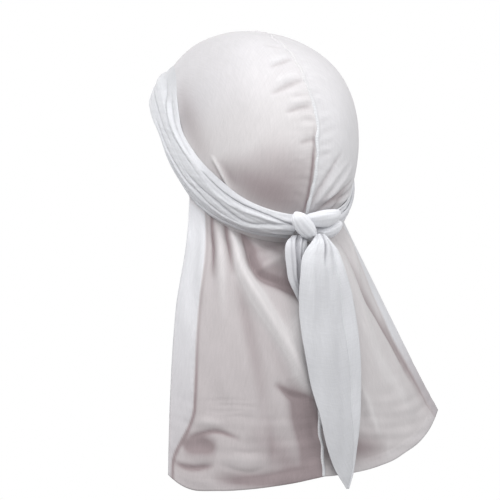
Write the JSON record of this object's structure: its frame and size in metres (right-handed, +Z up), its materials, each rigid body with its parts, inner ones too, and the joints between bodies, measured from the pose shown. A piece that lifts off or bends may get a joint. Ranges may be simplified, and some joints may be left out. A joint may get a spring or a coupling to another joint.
{
  "type": "durag",
  "caption": "Durag in its tied form: seamed crown, pleated strap wraps, knot at the back with loose tie ends, and a long hemmed cape.",
  "frame": {"origin": "inside of the crown at its very top, on the centre seam, where a head bears; everything else lies below it", "axes": "+Z up, -Y to the open front, +X to the wearer's left"},
  "size_m": [0.2733, 0.2127, 0.381],
  "materials": {
    "panel_cloth": "matt fine plain weave, very pale grey, single layer",
    "strap_cloth": "matt fine plain weave, very pale grey, doubled",
    "seam_cloth": "matt fine plain weave, very pale grey, sewn seam allowance"
  },
  "bodies": {
    "root": {"left_panel": "panel_cloth", "right_panel": "panel_cloth", "centre_seam": "seam_cloth", "inner_wrap": "strap_cloth", "outer_wrap": "strap_cloth", "knot": "strap_cloth", "long_end": "strap_cloth", "short_end": "strap_cloth"}
  },
  "joints": []
}
